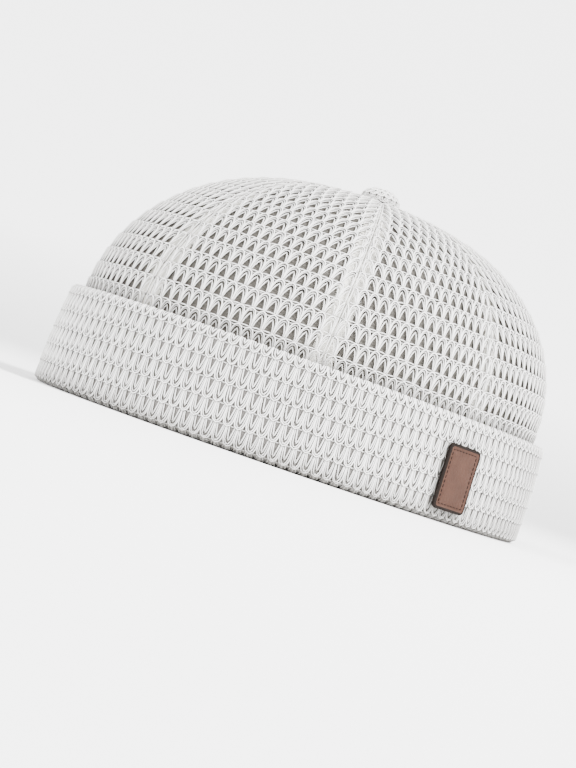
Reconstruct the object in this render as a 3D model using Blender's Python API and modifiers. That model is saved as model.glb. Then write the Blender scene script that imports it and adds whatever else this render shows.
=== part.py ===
"""A docker cap: a brimless knitted cap with a turned-up cuff and an adjustable strap at the back.

Metres, +Z up. The front of the cap looks along -Y, the wearer's left is +X, and the cap rests on
its rim at z = 0. Walls are measured by their inset: how far they lie inside the rim's outer oval.
"""
import math

import bpy
import bmesh
from mathutils import Vector

# Rim: the outer oval of the cuff, a superellipse a little wider at the back
RIM_HALF_LENGTH = 0.1035
RIM_HALF_WIDTH = 0.0895
RIM_POWER = 2.12
BACK_WIDENING = 0.03
LEAN_FRONT = 0.0025
LEAN_BACK = 0.0006

# Cuff: the knit turned up round the rim
CUFF_HEIGHT = 0.039
CUFF_WALL = 0.004
CUFF_BELLY = 0.0006
FOLD_FLOOR = 0.003
FOLD_ROUND = 0.0025

# Crown: gores of openwork knit under a flattened dome
CROWN_WALL = 0.002
CROWN_HEIGHT = 0.1080
CROWN_SETBACK = 0.008
DOME_SQUARENESS = 0.816
SHOULDER_LIFT = 0.001
PANEL_COUNT = 8
PANEL_BULGE = 0.0009
SEAM_GAP = 0.0005
TAPE_WIDTH = 0.011
TAPE_WALL = 0.0008

# Button on the top
BUTTON_RADIUS = 0.008
BUTTON_HEIGHT = 0.0055
BUTTON_FULLNESS = 0.9
SHANK_RADIUS = 0.003

# Sweatband and the facing round the arch, cotton cloth
SWEATBAND_HEIGHT = 0.0345
SWEATBAND_WALL = 0.0013
HEM_LIFT = 0.0007
FACING_WALL = 0.0016
FACING_SETBACK = 0.003
FACING_BORDER = 0.010
FACING_REACH = 0.024

# Arch: the opening at the back
ARCH_HALF_WIDTH = 0.040
ARCH_HEIGHT = 0.052
ARCH_POWER = 2.5
CONTOUR_POWER = 4.0

# Strap and its slider
STRAP_WIDTH = 0.020
STRAP_WALL = 0.0012
STRAP_LIFT = 0.0035
STRAP_INSERT = 0.010
STRAP_RAMP = 0.36
SLIDER_OFFSET = 0.015
SLIDER_WALL = 0.0015
SLIDER_BAR = 0.009
SLIDER_RAIL = 0.002
SLIDER_SLOT = 0.004
SLIDER_LIP = 0.003
SLIDER_ROUND = 0.0004

# Label on the cuff
LABEL_ANGLE = math.radians(85.5)
LABEL_WIDTH = 0.017
LABEL_HEIGHT = 0.024
LABEL_LIFT = 0.0045
LABEL_WALL = 0.0012
LABEL_CORNER = 0.002

# Clearances between neighbours
GAP = 0.0004
FIT = 0.0003

# Insets of the layers, from the outside in
CROWN_INSET = CUFF_WALL + GAP
LINING_INSET = CROWN_INSET + CROWN_WALL + GAP
STRAP_INSET = LINING_INSET + STRAP_WALL / 2
SHOULDER_Z = CUFF_HEIGHT + SHOULDER_LIFT
DOME_RISE = CROWN_HEIGHT - SHOULDER_Z

# Sizes that follow from the others
FACING_HALF_WIDTH = ARCH_HALF_WIDTH + FACING_REACH
FACING_HEIGHT = ARCH_HEIGHT + FACING_SETBACK + FACING_BORDER
SLIDER_LENGTH = SLIDER_BAR + 2 * SLIDER_SLOT + 2 * SLIDER_RAIL
STRAP_SWING = SLIDER_WALL + STRAP_WALL + 2 * FIT

# Facets
CUFF_COLUMNS = 60
PANEL_COLUMNS = 8
DOME_ROWS = 10
ARCH_STEPS = 30
STRAP_STEPS = 26
ARC_STEPS = 4
FACING_COLUMNS = 6
LABEL_COLUMNS = 4
BUTTON_ROWS = 6
BUTTON_SIDES = 20
WALL_RISES = [-1.0, -0.66, -0.33]


def clear_scene():
    for item in list(bpy.data.objects):
        bpy.data.objects.remove(item, do_unlink=True)


def new_collection(name):
    collection = bpy.data.collections.new(name)
    bpy.context.scene.collection.children.link(collection)
    return collection


def make_material(name, color, roughness, metallic=0.0):
    material = bpy.data.materials.new(name)
    material.use_nodes = True
    shader = material.node_tree.nodes["Principled BSDF"]
    shader.inputs["Base Color"].default_value = (*color, 1.0)
    shader.inputs["Roughness"].default_value = roughness
    shader.inputs["Metallic"].default_value = metallic
    return material


def smooth_step(value, start, end):
    share = min(max((value - start) / (end - start), 0.0), 1.0)
    return share * share * (3 - 2 * share)


def rim_radius(angle, inset):
    """Distance from the middle to the oval. Angle 0 is the front, 90 degrees the wearer's left."""
    half_width = (RIM_HALF_WIDTH - inset) * (1 - BACK_WIDENING * math.cos(angle))
    half_length = RIM_HALF_LENGTH - inset
    across = abs(math.sin(angle) / half_width) ** RIM_POWER
    along = abs(math.cos(angle) / half_length) ** RIM_POWER
    return (across + along) ** (-1 / RIM_POWER)


def lean(angle, z):
    """The upright wall leans in a little, most at the front."""
    frontness = (1 + math.cos(angle)) / 2
    at_top = LEAN_BACK + (LEAN_FRONT - LEAN_BACK) * frontness
    return at_top * z / CUFF_HEIGHT


def wall_point(angle, inset, z):
    radius = rim_radius(angle, inset) - lean(angle, z)
    return Vector((radius * math.sin(angle), -radius * math.cos(angle), z))


def seam_angles():
    """Angles of the seams, an equal length of rim apart, from the front round to the front."""
    steps = 720
    angles = [math.tau * i / steps for i in range(steps + 1)]
    points = [wall_point(angle, CROWN_INSET, 0) for angle in angles]
    lengths = [0.0]
    for start, end in zip(points, points[1:]):
        lengths.append(lengths[-1] + (end - start).length)
    seams = []
    for k in range(PANEL_COUNT + 1):
        target = lengths[-1] * k / PANEL_COUNT
        i = min(next(i for i, length in enumerate(lengths) if length >= target - 1e-9), steps)
        before = max(i - 1, 0)
        span = lengths[i] - lengths[before]
        share = (target - lengths[before]) / span if span else 0.0
        seams.append(angles[before] + (angles[i] - angles[before]) * share)
    return seams


SEAMS = seam_angles()


def panel_bulge(angle, rise):
    """Each gore is fuller in its middle than at its seams."""
    if rise <= 0:
        return 0.0
    turn = angle % math.tau
    k = max(i for i in range(PANEL_COUNT) if SEAMS[i] <= turn + 1e-9)
    share = (turn - SEAMS[k]) / (SEAMS[k + 1] - SEAMS[k])
    fullness = 4 * share * (1 - share)
    return PANEL_BULGE * fullness * math.sin(math.pi * rise)


def dome_radius(angle, rise):
    shoulder = rim_radius(angle, CROWN_INSET) - lean(angle, SHOULDER_Z)
    narrowing = max(math.cos(max(rise, 0.0) * math.pi / 2), 0.0) ** DOME_SQUARENESS
    return shoulder * narrowing + panel_bulge(angle, rise)


def crown_outer(angle, rise):
    """Point of the crown's outer face: rise -1 is its lower edge, 0 the shoulder and 1 the top.

    The dome's middle moves back as it rises, so the crown is fuller behind.
    """
    if rise <= 0:
        z = SHOULDER_Z + rise * (SHOULDER_Z - FOLD_FLOOR - GAP)
        return wall_point(angle, CROWN_INSET, z)
    climb = rise * math.pi / 2
    radius = dome_radius(angle, rise)
    back = CROWN_SETBACK * math.sin(climb)
    z = SHOULDER_Z + DOME_RISE * math.sin(climb)
    return Vector((radius * math.sin(angle), back - radius * math.cos(angle), z))


def crown_point(angle, rise, depth):
    """The same, moved in by depth, square to the surface."""
    step = 1e-3
    centre = crown_outer(angle, rise)
    along = crown_outer(angle + step, rise) - crown_outer(angle - step, rise)
    up = crown_outer(angle, min(rise + step, 1)) - crown_outer(angle, rise - step)
    return centre - along.cross(up).normalized() * depth


def rise_at_radius(angle, radius):
    """The rise at which the dome has narrowed to this radius."""
    shoulder = rim_radius(angle, CROWN_INSET) - lean(angle, SHOULDER_Z)
    return math.acos((radius / shoulder) ** (1 / DOME_SQUARENESS)) * 2 / math.pi


def rise_at_height(z):
    if z <= SHOULDER_Z:
        return (z - SHOULDER_Z) / (SHOULDER_Z - FOLD_FLOOR - GAP)
    return math.asin(min((z - SHOULDER_Z) / DOME_RISE, 1.0)) * 2 / math.pi


def dome_rises():
    """Rows of the dome from the shoulder to the shank's hole, shared by panels and tapes."""
    top = rise_at_radius(math.pi / 2, SHANK_RADIUS + FIT)
    return [top * i / DOME_ROWS for i in range(DOME_ROWS + 1)]


def add_object(name, mesh, material, collection, parent):
    item = bpy.data.objects.new(name, mesh)
    collection.objects.link(item)
    item.parent = parent
    if material:
        mesh.materials.append(material)
    return item


def grid_mesh(name, rows, closed=False):
    """A sheet through rows of points, with its face to the outside of the cap."""
    mesh = bpy.data.meshes.new(name)
    form = bmesh.new()
    verts = [[form.verts.new(point) for point in row] for row in rows]
    for low, high in zip(verts, verts[1:]):
        columns = len(low) if closed else len(low) - 1
        for i in range(columns):
            j = (i + 1) % len(low)
            form.faces.new((low[i], low[j], high[j], high[i]))
    form.to_mesh(mesh)
    form.free()
    return mesh


def finish_smooth(item, sharp_degrees=40):
    item.data.shade_smooth()
    item.data.set_sharp_from_angle(angle=math.radians(sharp_degrees))


def thicken(item, thickness, offset=-1.0):
    solidify = item.modifiers.new("Wall", "SOLIDIFY")
    solidify.thickness = thickness
    solidify.offset = offset
    solidify.use_even_offset = True
    solidify.use_quality_normals = True


def cut_with(item, cutter):
    cut = item.modifiers.new("Arch cut", "BOOLEAN")
    cut.operation = "DIFFERENCE"
    cut.object = cutter


def make_crown_panels(collection, parent, arch_cutter):
    knit = make_material("crown_knit", (0.80, 0.80, 0.79), 0.75)
    for k in range(PANEL_COUNT):
        start, end = SEAMS[k], SEAMS[k + 1]
        rows = []
        for rise in WALL_RISES + dome_rises():
            radius = dome_radius(start, rise)
            edge = SEAM_GAP / 2 / radius
            row = []
            for i in range(PANEL_COLUMNS + 1):
                share = i / PANEL_COLUMNS
                angle = start + edge + (end - start - 2 * edge) * share
                row.append(crown_point(angle, rise, 0.0))
            rows.append(row)
        name = f"crown_panel_{k + 1}"
        panel = add_object(name, grid_mesh(name, rows), knit, collection, parent)
        finish_smooth(panel)
        thicken(panel, CROWN_WALL)
        middle = wall_point((start + end) / 2, CROWN_INSET, 0)
        if middle.y > 0 and min(abs(wall_point(a, 0, 0).x) for a in (start, end)) < ARCH_HALF_WIDTH:
            cut_with(panel, arch_cutter)


def contour_height(x, half_width, height, power):
    return height * max(1 - (abs(x) / half_width) ** power, 0.0) ** (1 / power)


def lining_top(x_near):
    """Height of the sweatband, or of the facing where it reaches this far to the side."""
    if x_near >= FACING_HALF_WIDTH:
        return SWEATBAND_HEIGHT
    height = contour_height(x_near, FACING_HALF_WIDTH, FACING_HEIGHT, CONTOUR_POWER)
    return max(height, SWEATBAND_HEIGHT)


def make_seam_tapes(collection, parent):
    cloth = make_material("seam_tape_cotton", (0.72, 0.69, 0.60), 0.85)
    depth = CROWN_WALL + GAP
    for k in range(PANEL_COUNT):
        seam = SEAMS[k]
        before = SEAMS[k - 1] if k else SEAMS[PANEL_COUNT - 1] - math.tau
        left_limit = (seam - before) / 2
        right_limit = (SEAMS[k + 1] - seam) / 2
        foot = SWEATBAND_HEIGHT
        if math.cos(seam) < 0:
            foot = lining_top(max(abs(wall_point(seam, CROWN_INSET, 0).x) - TAPE_WIDTH, 0))
        start = rise_at_height(foot + 2 * GAP)
        rows = []
        for rise in [start] + [rise for rise in dome_rises() if rise > start]:
            radius = dome_radius(seam, rise)
            half = TAPE_WIDTH / 2 / radius
            edge = SEAM_GAP / 2 / radius
            left = min(half, left_limit - edge)
            right = min(half, right_limit - edge)
            angles = (seam - left, seam, seam + right)
            rows.append([crown_point(angle, rise, depth) for angle in angles])
        name = f"seam_tape_{k + 1}"
        tape = add_object(name, grid_mesh(name, rows), cloth, collection, parent)
        finish_smooth(tape)
        thicken(tape, TAPE_WALL)


def arc(centre_inset, centre_z, radius, start_degrees, end_degrees):
    """Points of a rounded corner in a wall's section, as (inset, z)."""
    points = []
    for i in range(ARC_STEPS + 1):
        turn = math.radians(start_degrees + (end_degrees - start_degrees) * i / ARC_STEPS)
        points.append((centre_inset + radius * math.cos(turn), centre_z + radius * math.sin(turn)))
    return points


def cuff_section():
    """The folded knit in section: floor under the crown, step at the crown's edge, rounded top."""
    inner = LINING_INSET - GAP
    inner_round = FOLD_FLOOR / 3
    top_round = CUFF_WALL / 2
    mid = (FOLD_FLOOR + CUFF_HEIGHT) / 2
    section = arc(inner - inner_round, inner_round, inner_round, -90, 0)
    section += [(inner, FOLD_FLOOR), (CUFF_WALL, FOLD_FLOOR), (CUFF_WALL - CUFF_BELLY / 3, mid)]
    section += arc(top_round, CUFF_HEIGHT - top_round, top_round, 0, 180)
    section += [(-CUFF_BELLY, mid)]
    section += arc(FOLD_ROUND, FOLD_ROUND, FOLD_ROUND, 180, 270)
    return section


def make_cuff(collection, parent, arch_cutter):
    """The section is carried round the rim's oval and closed, then the arch is cut from it."""
    knit = make_material("cuff_knit", (0.82, 0.82, 0.81), 0.75)
    section = cuff_section()
    rows = []
    for inset, z in section + section[:1]:
        angles = [math.tau * i / CUFF_COLUMNS for i in range(CUFF_COLUMNS)]
        rows.append([wall_point(angle, inset, z) for angle in angles])
    mesh = grid_mesh("cuff", rows, closed=True)
    form = bmesh.new()
    form.from_mesh(mesh)
    bmesh.ops.remove_doubles(form, verts=form.verts, dist=1e-7)
    bmesh.ops.recalc_face_normals(form, faces=form.faces)
    form.to_mesh(mesh)
    form.free()
    cuff = add_object("cuff", mesh, knit, collection, parent)
    finish_smooth(cuff)
    cut_with(cuff, arch_cutter)


def contour_points(half_width, height, power, steps):
    """An arch's outline as (x, z), from its foot at -X over the top to its foot at +X."""
    points = []
    for i in range(steps + 1):
        turn = math.pi * i / steps
        c, s = -math.cos(turn), math.sin(turn)
        x = half_width * math.copysign(abs(c) ** (2 / power), c)
        points.append((x, height * abs(s) ** (2 / power)))
    return points


def make_arch_cutter(collection, parent):
    """A bar with the arch's outline, long enough to pass through the whole back wall."""
    outline = contour_points(ARCH_HALF_WIDTH, ARCH_HEIGHT, ARCH_POWER, ARCH_STEPS)
    foot = -FOLD_FLOOR
    outline = [(-ARCH_HALF_WIDTH, foot)] + outline + [(ARCH_HALF_WIDTH, foot)]
    form = bmesh.new()
    near = [form.verts.new((x, RIM_HALF_LENGTH / 2, z)) for x, z in outline]
    face = form.faces.new(near)
    result = bmesh.ops.extrude_face_region(form, geom=[face])
    moved = [item for item in result["geom"] if isinstance(item, bmesh.types.BMVert)]
    bmesh.ops.translate(form, verts=moved, vec=(0, RIM_HALF_LENGTH, 0))
    bmesh.ops.recalc_face_normals(form, faces=form.faces)
    mesh = bpy.data.meshes.new("arch_cutter")
    form.to_mesh(mesh)
    form.free()
    cutter = add_object("arch_cutter", mesh, None, collection, parent)
    cutter.display_type = "WIRE"
    cutter.hide_render = True
    return cutter


def angle_at_x(x, inset, z):
    """The angle on the back wall at which the wall stands this far to the side."""
    low, high = math.pi / 2, 3 * math.pi / 2
    for _ in range(50):
        middle = (low + high) / 2
        if wall_point(middle, inset, z).x > x:
            low = middle
        else:
            high = middle
    return (low + high) / 2


def lining_point(x, z, extra):
    """A point of the lining's outer face, over the cuff's height or under the dome above it."""
    angle = angle_at_x(x, LINING_INSET, min(z, SHOULDER_Z))
    if z <= SHOULDER_Z:
        return wall_point(angle, LINING_INSET + extra, z)
    return crown_point(angle, rise_at_height(z), CROWN_WALL + GAP + extra)


def make_sweatband(collection, parent):
    cotton = make_material("sweatband_cotton", (0.52, 0.47, 0.33), 0.9)
    heights = [HEM_LIFT, SWEATBAND_HEIGHT / 2, SWEATBAND_HEIGHT]
    columns = CUFF_COLUMNS * 3 // 4
    rows = []
    for z in heights:
        level = min(z / FACING_HEIGHT, 1.0) ** CONTOUR_POWER
        reach = FACING_HALF_WIDTH * (1 - level) ** (1 / CONTOUR_POWER) + GAP
        start = angle_at_x(reach, LINING_INSET, z)
        row = []
        for i in range(columns + 1):
            angle = -start + 2 * start * i / columns
            row.append(wall_point(angle, LINING_INSET, z))
        rows.append(row)
    mesh = grid_mesh("sweatband", rows)
    band = add_object("sweatband", mesh, cotton, collection, parent)
    finish_smooth(band)
    thicken(band, SWEATBAND_WALL)


def pocket_depth(x, z):
    """The facing stands off the crown where the strap's ends lie behind it."""
    room = STRAP_WALL + GAP
    far = ARCH_HALF_WIDTH + STRAP_INSERT + FACING_SETBACK
    high = STRAP_LIFT + STRAP_WIDTH + FACING_SETBACK
    fade = FACING_REACH / 3
    return room * (1 - smooth_step(abs(x), far, far + fade)) * (1 - smooth_step(z, high, high + fade))


def make_arch_facing(collection, parent):
    cotton = make_material("facing_cotton", (0.54, 0.49, 0.35), 0.9)
    inner = contour_points(ARCH_HALF_WIDTH + FACING_SETBACK, ARCH_HEIGHT + FACING_SETBACK,
                           ARCH_POWER, ARCH_STEPS)
    outer = contour_points(FACING_HALF_WIDTH, FACING_HEIGHT, CONTOUR_POWER, ARCH_STEPS)
    rows = []
    for (x_in, z_in), (x_out, z_out) in zip(inner, outer):
        row = []
        for i in range(FACING_COLUMNS + 1):
            share = i / FACING_COLUMNS
            x = x_in + (x_out - x_in) * share
            z = max(z_in + (z_out - z_in) * share, HEM_LIFT)
            row.append(lining_point(x, z, pocket_depth(x, z)))
        rows.append(row)
    facing = add_object("arch_facing", grid_mesh("arch_facing", rows), cotton, collection, parent)
    finish_smooth(facing)
    thicken(facing, FACING_WALL)


def strap_frame(z):
    """The strap's line where the slider is, with the directions along it and out of the cap."""
    angle = angle_at_x(SLIDER_OFFSET, STRAP_INSET, z)
    step = 1e-3
    centre = wall_point(angle, STRAP_INSET, z)
    along = wall_point(angle - step, STRAP_INSET, z) - wall_point(angle + step, STRAP_INSET, z)
    along.normalize()
    return centre, along, Vector((-along.y, along.x, 0))


def strap_weave():
    """The strap's middle at the slider, as (along, out): over the rails, under the bar."""
    slot_middle = (SLIDER_BAR + SLIDER_SLOT) / 2
    ramp = SLIDER_SLOT * STRAP_RAMP
    past = SLIDER_LENGTH / 2 + SLIDER_RAIL
    half = [(slot_middle - ramp, STRAP_SWING), (slot_middle + ramp, 0.0), (past, 0.0)]
    return [(-u, v) for u, v in reversed(half)] + half


def strap_line(z):
    """The strap's middle at one height, from the pocket at the wearer's left to the other."""
    centre, along, outward = strap_frame(z)
    reach = ARCH_HALF_WIDTH + STRAP_INSERT
    first = angle_at_x(reach, STRAP_INSET, z)
    last = angle_at_x(-reach, STRAP_INSET, z)
    clear = SLIDER_LENGTH / 2 + 2 * SLIDER_RAIL
    before, after = [], []
    for i in range(STRAP_STEPS + 1):
        point = wall_point(first + (last - first) * i / STRAP_STEPS, STRAP_INSET, z)
        offset = (point - centre).dot(along)
        if offset > clear:
            before.append(point)
        elif offset < -clear:
            after.append(point)
    woven = [centre + along * u + outward * v for u, v in reversed(strap_weave())]
    return before + woven + after


def make_strap(collection, parent):
    """One webbing from pocket to pocket, woven through the slider's two slots."""
    webbing = make_material("strap_webbing", (0.03, 0.03, 0.033), 0.7)
    rows = [strap_line(STRAP_LIFT), strap_line(STRAP_LIFT + STRAP_WIDTH)]
    strap = add_object("strap", grid_mesh("strap", rows), webbing, collection, parent)
    finish_smooth(strap, 60)
    thicken(strap, STRAP_WALL, offset=0.0)


def make_slider(collection, parent):
    """A flat plate with two slots. The strap passes inside its rails and outside its bar."""
    plastic = make_material("slider_plastic", (0.045, 0.045, 0.042), 0.45)
    middle_z = STRAP_LIFT + STRAP_WIDTH / 2
    centre, along, outward = strap_frame(middle_z)
    length = SLIDER_LENGTH
    tall = STRAP_WIDTH + 2 * SLIDER_LIP
    slot_tall = STRAP_WIDTH + 2 * GAP
    xs = [-length / 2, -length / 2 + SLIDER_RAIL, -SLIDER_BAR / 2,
          SLIDER_BAR / 2, length / 2 - SLIDER_RAIL, length / 2]
    zs = [-tall / 2, -slot_tall / 2, slot_tall / 2, tall / 2]
    slots = {(1, 1), (3, 1)}
    form = bmesh.new()
    verts = [[form.verts.new((x, 0, z)) for x in xs] for z in zs]
    for j in range(len(zs) - 1):
        for i in range(len(xs) - 1):
            if (i, j) in slots:
                continue
            form.faces.new((verts[j][i], verts[j][i + 1], verts[j + 1][i + 1], verts[j + 1][i]))
    mesh = bpy.data.meshes.new("slider")
    form.to_mesh(mesh)
    form.free()
    slider = add_object("slider", mesh, plastic, collection, parent)
    slider.location = centre + outward * (STRAP_SWING / 2)
    slider.rotation_euler = (math.atan(LEAN_BACK / CUFF_HEIGHT), 0, math.atan2(along.y, along.x))
    thicken(slider, SLIDER_WALL, offset=0.0)
    bevel = slider.modifiers.new("Worn edges", "BEVEL")
    bevel.width = SLIDER_ROUND
    bevel.segments = 1
    bevel.limit_method = "ANGLE"


def make_label(collection, parent):
    """A leather-look tab with round corners, bent round the cuff."""
    leather = make_material("label_leather", (0.30, 0.18, 0.14), 0.6)
    half_w, half_h = LABEL_WIDTH / 2, LABEL_HEIGHT / 2
    flat_w = half_w - LABEL_CORNER
    xs = [-flat_w + flat_w * 2 * i / LABEL_COLUMNS for i in range(LABEL_COLUMNS + 1)]
    turns = [math.radians(turn) for turn in (30, 60, 90)]
    corner = [flat_w + LABEL_CORNER * math.sin(turn) for turn in turns]
    xs = [-x for x in reversed(corner)] + xs + corner
    middle_z = LABEL_LIFT + half_h
    rows = []
    radius = rim_radius(LABEL_ANGLE, 0)
    for side in (-1, 1):
        row = []
        for x in xs:
            past = max(abs(x) - flat_w, 0.0)
            drop = LABEL_CORNER - math.sqrt(max(LABEL_CORNER ** 2 - past ** 2, 0.0))
            z = middle_z + side * (half_h - drop)
            proud = FIT + LABEL_WALL + CUFF_BELLY
            row.append(wall_point(LABEL_ANGLE + x / radius, -proud, z))
        rows.append(row)
    label = add_object("label", grid_mesh("label", rows), leather, collection, parent)
    finish_smooth(label)
    thicken(label, LABEL_WALL)


def make_button(collection, parent):
    """A low dome on the middle of the crown, with a shank down through it."""
    knit = make_material("button_knit", (0.82, 0.82, 0.81), 0.75)
    base = CROWN_HEIGHT + GAP
    shank_foot = CROWN_HEIGHT - CROWN_WALL - TAPE_WALL - GAP
    profile = [(0.0, base + BUTTON_HEIGHT)]
    for i in range(1, BUTTON_ROWS + 1):
        turn = math.pi / 2 * i / BUTTON_ROWS
        radius = BUTTON_RADIUS * math.sin(turn) ** BUTTON_FULLNESS
        profile.append((radius, base + BUTTON_HEIGHT * math.cos(turn)))
    profile += [(SHANK_RADIUS, base), (SHANK_RADIUS, shank_foot), (0.0, shank_foot)]
    form = bmesh.new()
    verts = [form.verts.new((x, 0, z)) for x, z in profile]
    for start, end in zip(verts, verts[1:]):
        form.edges.new((start, end))
    mesh = bpy.data.meshes.new("top_button")
    form.to_mesh(mesh)
    form.free()
    button = add_object("top_button", mesh, knit, collection, parent)
    button.location.y = CROWN_SETBACK
    screw = button.modifiers.new("Turned form", "SCREW")
    screw.steps = BUTTON_SIDES
    screw.render_steps = BUTTON_SIDES
    screw.use_merge_vertices = True
    screw.merge_threshold = 0.00001


def centre_on_origin(collection, root):
    """The front reaches further than the cut-away back, so the whole cap is moved to centre it."""
    bpy.context.view_layer.update()
    graph = bpy.context.evaluated_depsgraph_get()
    reach = []
    for item in collection.objects:
        if item.type != "MESH":
            continue
        evaluated = item.evaluated_get(graph)
        reach += [(item.matrix_world @ Vector(corner)).y for corner in evaluated.bound_box]
    root.location.y = -(min(reach) + max(reach)) / 2


def main():
    clear_scene()
    cap = new_collection("docker_cap")
    cutters = new_collection("cutters")
    root = bpy.data.objects.new("cap_frame", None)
    cap.objects.link(root)
    arch_cutter = make_arch_cutter(cutters, root)
    make_crown_panels(cap, root, arch_cutter)
    make_seam_tapes(cap, root)
    make_button(cap, root)
    make_cuff(cap, root, arch_cutter)
    make_sweatband(cap, root)
    make_arch_facing(cap, root)
    make_strap(cap, root)
    make_slider(cap, root)
    make_label(cap, root)
    centre_on_origin(cap, root)


main()
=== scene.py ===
# %% [markdown]
# # A docker cap in openwork knit
# A docker cap is a close-fitting cap without a peak. This one is knitted from smooth off-white yarn
# in a stitch full of small triangular holes, has eight gores with a covered button on top, a cuff
# turned up round the rim, a cotton sweatband inside, and an arch at the back that a webbing strap
# with a slider draws together. The solids of the CAD model give every piece its place and size.
# Here each piece is made again as it looks: knit as real strands, cloth with its seams.

# %% Load the frame
import math

import bmesh
import bpy
import numpy as np
from mathutils import Matrix, Vector


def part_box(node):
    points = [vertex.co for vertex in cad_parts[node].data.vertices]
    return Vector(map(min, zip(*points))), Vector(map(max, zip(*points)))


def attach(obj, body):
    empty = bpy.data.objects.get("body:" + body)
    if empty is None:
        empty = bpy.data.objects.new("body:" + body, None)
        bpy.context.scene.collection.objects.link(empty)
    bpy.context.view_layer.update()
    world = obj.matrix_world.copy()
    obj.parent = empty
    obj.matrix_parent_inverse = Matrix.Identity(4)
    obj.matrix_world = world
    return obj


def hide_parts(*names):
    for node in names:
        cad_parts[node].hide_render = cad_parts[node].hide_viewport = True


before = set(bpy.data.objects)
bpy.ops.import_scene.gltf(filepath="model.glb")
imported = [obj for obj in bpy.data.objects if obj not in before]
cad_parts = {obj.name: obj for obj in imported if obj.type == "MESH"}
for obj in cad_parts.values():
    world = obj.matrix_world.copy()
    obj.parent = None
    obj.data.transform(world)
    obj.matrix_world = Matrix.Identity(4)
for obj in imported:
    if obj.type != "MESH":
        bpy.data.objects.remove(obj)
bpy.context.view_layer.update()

# %% [markdown]
# ## Camera
# The photograph was taken with a long lens from the front left of the wearer, with the cap tilted to
# the right in the picture. It looks from a little below the rim. A cap that rests on a surface can't
# be seen from there, so the camera keeps the same side, lens and tilt and stands just above the floor.
# The floor begins only centimetres from the lens there, so the near clipping distance is set short.

# %% Camera
IMAGE_H, FOCAL_PX = 768, 2200
AZIMUTH, ELEVATION, ROLL = math.radians(41), math.radians(-2.2), math.radians(19.2)
DISTANCE = 0.85
TARGET = Vector((0, 0.002, 0.05))
SHIFT_PX = (30, -45)
NEAR_CLIP = 0.01

camera = bpy.data.objects.new("camera", bpy.data.cameras.new("camera"))
bpy.context.scene.collection.objects.link(camera)
bpy.context.scene.camera = camera
camera.data.lens = FOCAL_PX / IMAGE_H * camera.data.sensor_width
camera.data.shift_x = -SHIFT_PX[0] / IMAGE_H
camera.data.shift_y = SHIFT_PX[1] / IMAGE_H
camera.data.clip_start = NEAR_CLIP
back = Vector((math.sin(AZIMUTH) * math.cos(ELEVATION), -math.cos(AZIMUTH) * math.cos(ELEVATION),
               math.sin(ELEVATION)))
right = Vector((math.cos(AZIMUTH), math.sin(AZIMUTH), 0))
up = back.cross(right)
right_rolled = right * math.cos(ROLL) + up * math.sin(ROLL)
up_rolled = up * math.cos(ROLL) - right * math.sin(ROLL)
turn = Matrix((right_rolled, up_rolled, back)).transposed().to_4x4()
camera.matrix_world = Matrix.Translation(TARGET + back * DISTANCE) @ turn
print("camera height", round(camera.location.z, 3))

# %% [markdown]
# ## Materials
# All the cloths are made by one recipe: a base colour that a soft noise shifts a little, a high
# roughness, a touch of sheen for the fine fibres on the surface, and a fine bump. For the yarns it
# also paints shade: darker where fibres lie deep between others, and a tone of its own on the side
# that a strand turns to the inside of the cap.

# %% Material recipe
GRAIN_DEPTH, INSIDE_BLEND, CREVICE_SHADE_REACH, CREVICE_SHADE_POWER = 0.0004, 0.02, 0.010, 1.6


def mix_colours(nodes, links, factor, low, high):
    """The colour goes from low to high with the factor. Either one is a colour or a socket."""
    blend = nodes.new("ShaderNodeMix")
    blend.data_type = "RGBA"
    links.new(factor, blend.inputs["Factor"])
    for name, value in (("A", low), ("B", high)):
        if isinstance(value, tuple):
            blend.inputs[name].default_value = (*value, 1)
        else:
            links.new(value, blend.inputs[name])
    return blend.outputs["Result"]


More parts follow.
